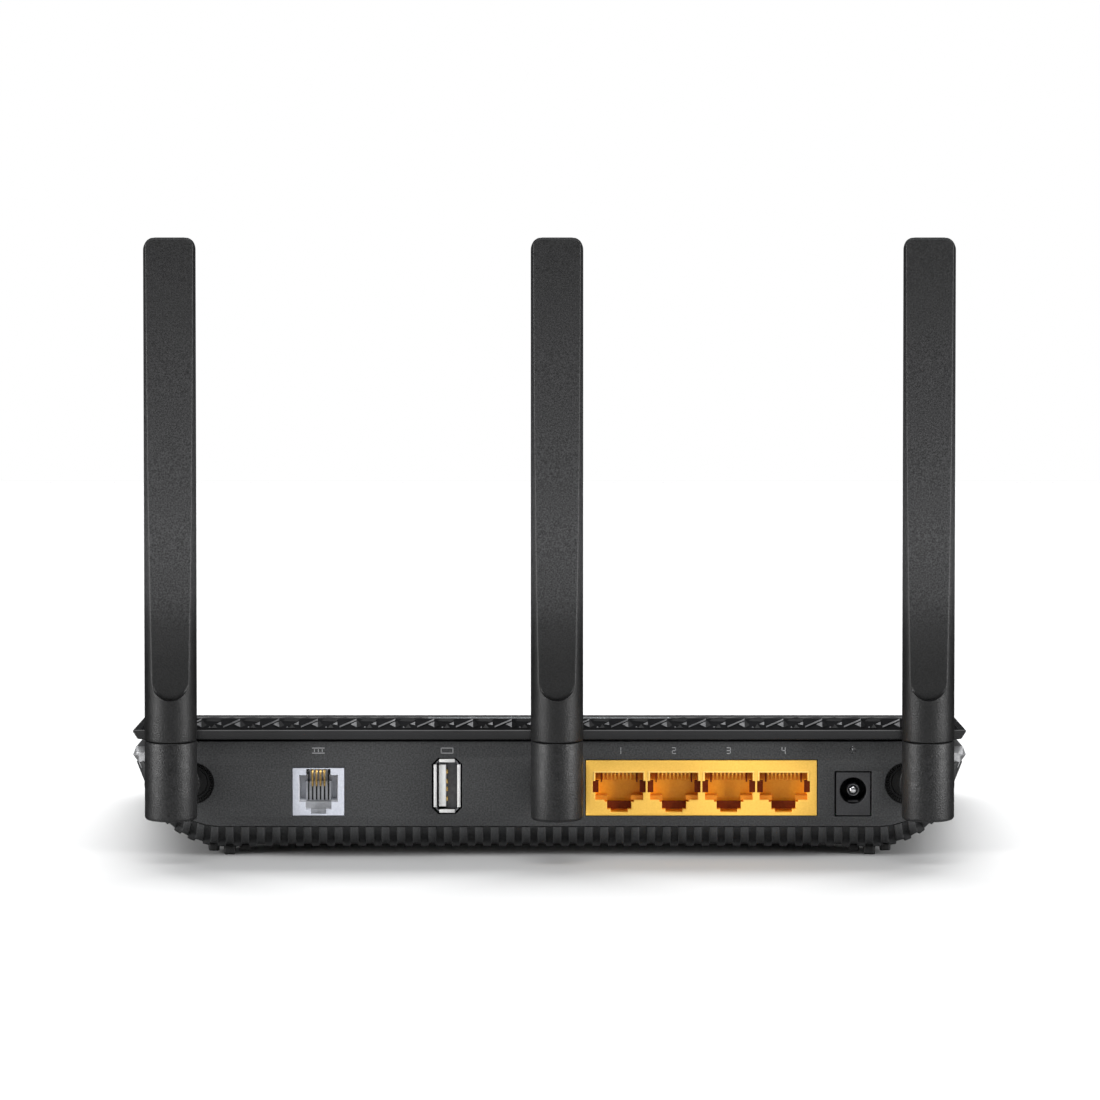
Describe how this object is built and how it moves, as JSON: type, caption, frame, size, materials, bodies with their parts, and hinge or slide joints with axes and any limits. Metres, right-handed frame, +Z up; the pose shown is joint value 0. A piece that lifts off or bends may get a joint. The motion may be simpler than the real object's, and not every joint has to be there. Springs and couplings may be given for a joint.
{
  "type": "wireless router",
  "caption": "Low wedge-shaped wireless modem router with a ribbed charcoal shell, a faceted gloss cover, a silver side trim, rear ports and swivelling blade antennas.",
  "frame": {"origin": "middle of the base of the bounding box, on the table the feet stand on", "axes": "+X right for a person facing the ports, -Y the way the port panel faces, +Z up"},
  "size_m": [0.2122, 0.144, 0.1607],
  "materials": {
    "cover_gloss": "glossy black with moulded diamond facets",
    "shell_plastic": "matte charcoal with moulded ribs",
    "panel_plastic": "matte charcoal, spark-eroded texture",
    "silver_plastic": "satin silver paint",
    "lens": "clear acrylic",
    "foot_rubber": "black rubber",
    "screw_steel": "zinc-plated",
    "board": "green solder mask",
    "chip_black": "moulded epoxy",
    "pad": "silicone pad",
    "heatsink_metal": "extruded",
    "tinned_steel": "tinned sheet",
    "coil": "taped winding",
    "can_sleeve": "shrink sleeve",
    "ferrite": "ferrite",
    "led": "clear epoxy",
    "lan_yellow": "yellow-orange moulding",
    "dsl_pale": "pale blue-grey moulding",
    "gold": "gold plated",
    "white_plastic": "white moulding",
    "jack_black": "black moulding",
    "pin_steel": "nickel plated",
    "switch_black": "black moulding",
    "button_black": "matte black",
    "lead_jacket": "coaxial jacket",
    "antenna_plastic": "matte charcoal, fine texture",
    "brass": "drawn brass"
  },
  "bodies": {
    "housing": {"top_cover": "cover_gloss", "bottom_shell": "shell_plastic", "rear_panel": "panel_plastic", "silver_trim": "silver_plastic", "light_lens": "lens", "light_guide": "lens", "rubber_feet": "foot_rubber", "case_screws": "screw_steel", "board_screws": "screw_steel", "main_board": "board", "processor": "chip_black", "thermal_pad": "pad", "heatsink": "heatsink_metal", "radio_chips": "chip_black", "shield_cans": "tinned_steel", "ram_chip": "chip_black", "flash_chip": "chip_black", "line_chip": "chip_black", "lan_transformers": "chip_black", "line_transformer": "coil", "capacitors": "can_sleeve", "inductors": "ferrite", "crystals": "tinned_steel", "status_leds": "led", "lan_housing": "lan_yellow", "lan_contacts": "gold", "dsl_housing": "dsl_pale", "dsl_contacts": "gold", "usb_shell": "tinned_steel", "usb_tongue": "white_plastic", "usb_contacts": "gold", "power_jack": "jack_black", "power_pin": "pin_steel", "tact_switches": "switch_black", "power_switch": "switch_black", "lead_left": "lead_jacket", "lead_middle": "lead_jacket", "lead_right": "lead_jacket", "lead_plugs": "gold"},
    "left_swivel": {"left_knuckle": "antenna_plastic"},
    "left_arm": {"left_pin": "pin_steel", "left_barrel": "antenna_plastic", "left_blade": "antenna_plastic", "left_element": "brass"},
    "middle_swivel": {"middle_knuckle": "antenna_plastic"},
    "middle_arm": {"middle_pin": "pin_steel", "middle_barrel": "antenna_plastic", "middle_blade": "antenna_plastic", "middle_element": "brass"},
    "right_swivel": {"right_knuckle": "antenna_plastic"},
    "right_arm": {"right_pin": "pin_steel", "right_barrel": "antenna_plastic", "right_blade": "antenna_plastic", "right_element": "brass"},
    "power_key": {"power_button": "button_black", "power_plunger": "white_plastic"},
    "pair_key": {"pair_button": "button_black", "pair_plunger": "white_plastic"},
    "reset_key": {"reset_plunger": "white_plastic"}
  },
  "joints": [
    {"name": "left_swivel", "type": "hinge", "parent": "housing", "child": "left_swivel", "pos_m": [-0.0962, -0.06535, 0.0193], "axis": [0, 1, 0], "range_deg": [-90, 35]},
    {"name": "left_tilt", "type": "hinge", "parent": "left_swivel", "child": "left_arm", "pos_m": [-0.0962, -0.06535, 0.0193], "axis": [1, 0, 0], "range_deg": [0, 90]},
    {"name": "middle_swivel", "type": "hinge", "parent": "housing", "child": "middle_swivel", "pos_m": [0.0019, -0.06535, 0.0193], "axis": [0, 1, 0], "range_deg": [-35, 35]},
    {"name": "middle_tilt", "type": "hinge", "parent": "middle_swivel", "child": "middle_arm", "pos_m": [0.0019, -0.06535, 0.0193], "axis": [1, 0, 0], "range_deg": [0, 90]},
    {"name": "right_swivel", "type": "hinge", "parent": "housing", "child": "right_swivel", "pos_m": [0.0962, -0.06535, 0.0193], "axis": [0, 1, 0], "range_deg": [-35, 90]},
    {"name": "right_tilt", "type": "hinge", "parent": "right_swivel", "child": "right_arm", "pos_m": [0.0962, -0.06535, 0.0193], "axis": [1, 0, 0], "range_deg": [0, 90]},
    {"name": "power_press", "type": "slide", "parent": "housing", "child": "power_key", "axis": [1, 0, 0], "range_m": [0, 0.0012], "stiffness_N_per_m": 1500},
    {"name": "pair_press", "type": "slide", "parent": "housing", "child": "pair_key", "axis": [1, 0, 0], "range_m": [0, 0.0003], "stiffness_N_per_m": 5000},
    {"name": "reset_press", "type": "slide", "parent": "housing", "child": "reset_key", "axis": [1, 0, 0], "range_m": [0, 0.0003], "stiffness_N_per_m": 5000}
  ]
}
